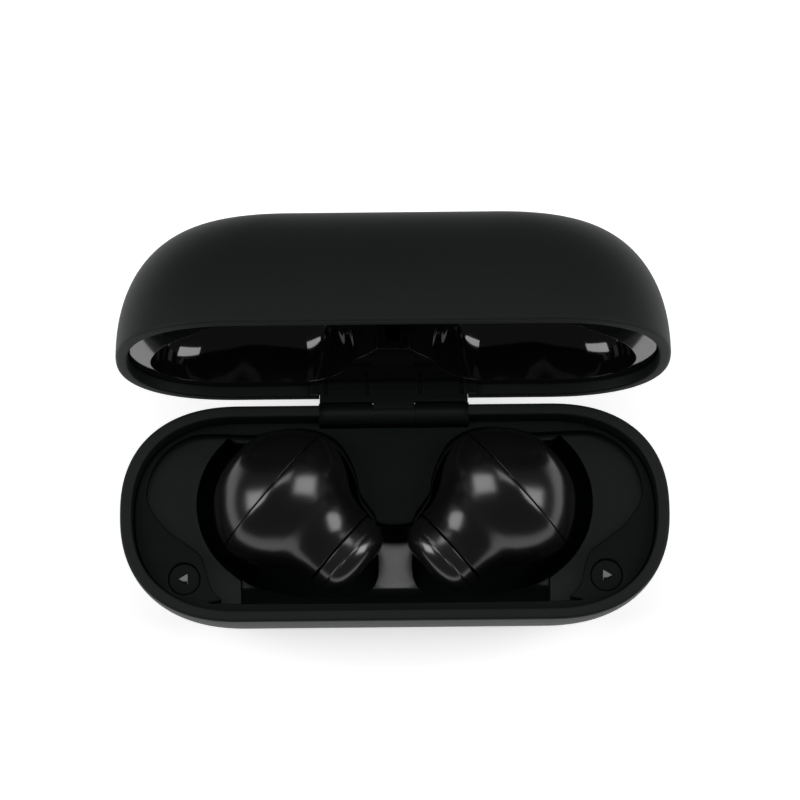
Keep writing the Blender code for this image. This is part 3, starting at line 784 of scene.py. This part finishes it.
def build_bud(side, sign):
    """One earbud: its outer and inner shells with a fine seam between, and the ear tip."""
    place = bud_place(sign)
    outline = [(radius, along) for along, radius in smoothed(BUD_PROFILE, 10, closed=False)]
    seam_radius = [radius for radius, along in outline if along >= SEAM_S][0]
    below = SEAM_S - SEAM_GROOVE
    outer = [point for point in outline if point[1] < below]
    outer += [(seam_radius, below), (seam_radius - 0.05, below + 0.03), (seam_radius - 0.6, below + 0.03)]
    outer += [(seam_radius - 1.0, below), (7.0, 4.3), (5.6, 2.6), (3.8, 1.6), (0.0, 1.2)]
    piece = revolve(f"{side}_bud_outer_fine", outer, place, BUD)
    fit_piece(piece, f"{side}_earbud", "bud_plastic", f"{side}_bud_outer_shell")

    above = SEAM_S + SEAM_GROOVE
    inner = [(seam_radius - 1.0, above), (seam_radius - 0.6, above), (seam_radius - 0.05, above)]
    inner += [(seam_radius, above + 0.04)]
    inner += [point for point in outline if point[1] > above + 0.1]
    inner += [(5.05, TIP_S - 0.25), (4.95, TIP_S - 0.12), (2.9, TIP_S - 0.12), (2.9, 18.4), (2.0, 18.4)]
    inner += [(2.0, 14.6), (4.2, 14.4), (5.2, 13.2), (6.6, 11.3), (7.6, 9.4), (8.0, 7.8)]
    piece = revolve(f"{side}_bud_inner_fine", inner, place, BUD, closed=True)
    fit_piece(piece, f"{side}_earbud", "bud_plastic", f"{side}_bud_inner_shell")

    tip = [(3.1, TIP_S), (5.0, TIP_S), (5.12, TIP_S + 0.1), (5.14, TIP_S + 1.0), (5.1, 18.3)]
    tip += [(4.98, 18.42), (4.95, 18.5), (4.98, 18.6)]
    for i in range(1, 13):
        turn = pi / 2 * i / 12
        tip.append((2.6 + 2.38 * cos(turn), 18.6 + 2.15 * sin(turn)))
    tip += [(2.0, 20.65), (1.75, 20.4), (1.65, 20.0), (1.6, 18.8), (3.1, 18.7)]
    piece = revolve(f"{side}_ear_tip_fine", tip, place, RUBBER, closed=True)
    fit_piece(piece, f"{side}_earbud", "silicone", f"{side}_ear_tip")


# ---------------------------------------------------------------- stage


def floor_and_world():
    """Pale paper that glows a little, and a white backdrop that lights the object only faintly."""
    mesh = bpy.data.meshes.new("floor")
    signs = ((-1, -1), (1, -1), (1, 1), (-1, 1))
    corners = [(x * FLOOR_HALF_SIZE, y * FLOOR_HALF_SIZE, 0) for x, y in signs]
    mesh.from_pydata(corners, [], [(0, 1, 2, 3)])
    floor = bpy.data.objects.new("floor", mesh)
    bpy.context.scene.collection.objects.link(floor)
    made, _, shader = new_material("floor_paper")
    shader.inputs["Base Color"].default_value = (0.85, 0.85, 0.85, 1)
    shader.inputs["Roughness"].default_value = 0.9
    shader.inputs["Emission Color"].default_value = (1, 1, 1, 1)
    shader.inputs["Emission Strength"].default_value = FLOOR_GLOW
    floor.data.materials.append(made)

    world = bpy.data.worlds.new("studio")
    world.use_nodes = True
    tree = world.node_tree
    path = tree.nodes.new("ShaderNodeLightPath")
    level = tree.nodes.new("ShaderNodeMapRange")
    level.inputs["To Min"].default_value = ROOM_LIGHT
    level.inputs["To Max"].default_value = 1.0
    tree.links.new(path.outputs["Is Camera Ray"], level.inputs["Value"])
    background = tree.nodes["Background"]
    background.inputs["Color"].default_value = (1, 1, 1, 1)
    tree.links.new(level.outputs["Result"], background.inputs["Strength"])
    bpy.context.scene.world = world


def area_light(name, place, target, size, power):
    data = bpy.data.lights.new(name, "AREA")
    data.shape = "RECTANGLE"
    data.size, data.size_y = size
    data.energy = power
    lamp = bpy.data.objects.new(name, data)
    bpy.context.scene.collection.objects.link(lamp)
    lamp.location = place
    lamp.rotation_mode = "QUATERNION"
    lamp.rotation_quaternion = (Vector(target) - Vector(place)).to_track_quat("-Z", "Y")


def lights():
    """A soft lamp at each side, and one high above, a little behind the case."""
    centre = (0, 0, 0.02)
    area_light("left_softbox", (-0.45, 0.0, 0.40), centre, (0.28, 0.40), SIDE_WATTS)
    area_light("right_softbox", (0.45, 0.0, 0.40), centre, (0.28, 0.40), SIDE_WATTS)
    area_light("rear_softbox", (0.0, 0.24, 0.80), centre, (0.6, 0.25), TOP_WATTS)


def camera():
    """A long lens in front and above, aimed a little off the middle of the base's rim."""
    data = bpy.data.cameras.new("camera")
    data.lens = CAMERA_FOCAL
    data.sensor_width = 36.0
    data.clip_start = 0.01
    data.clip_end = 10.0
    cam = bpy.data.objects.new("camera", data)
    bpy.context.scene.collection.objects.link(cam)
    rise = radians(CAMERA_ELEVATION)
    rim = Vector((0, 0, BASE_HEIGHT))
    place = rim + Vector((0, -cos(rise), sin(rise))) * CAMERA_DISTANCE
    aim = rim + Vector((1, 0, 0)) * CAMERA_SHIFT[0] + Vector((0, sin(rise), cos(rise))) * CAMERA_SHIFT[1]
    look = (aim - place).to_track_quat("-Z", "Y")
    cam.rotation_mode = "QUATERNION"
    cam.location = place * MM
    cam.rotation_quaternion = look @ Matrix.Rotation(radians(CAMERA_ROLL), 4, "Z").to_quaternion()
    bpy.context.scene.camera = cam


dress_cad_nodes()
build_shells()
build_leaf()
build_knuckle("left", (-KNUCKLE_REACH, -KNUCKLE_START), (-HINGE_HALF_WIDTH, -FOOT_START), (-3.65, -2.0))
build_knuckle("right", (KNUCKLE_START, KNUCKLE_REACH), (FOOT_START, HINGE_HALF_WIDTH), (2.0, 2.95))
build_bezel()
build_cradle()
build_liner()
build_bud("left", -1)
build_bud("right", 1)
floor_and_world()
lights()
camera()
bpy.context.scene.view_settings.view_transform = "Standard"
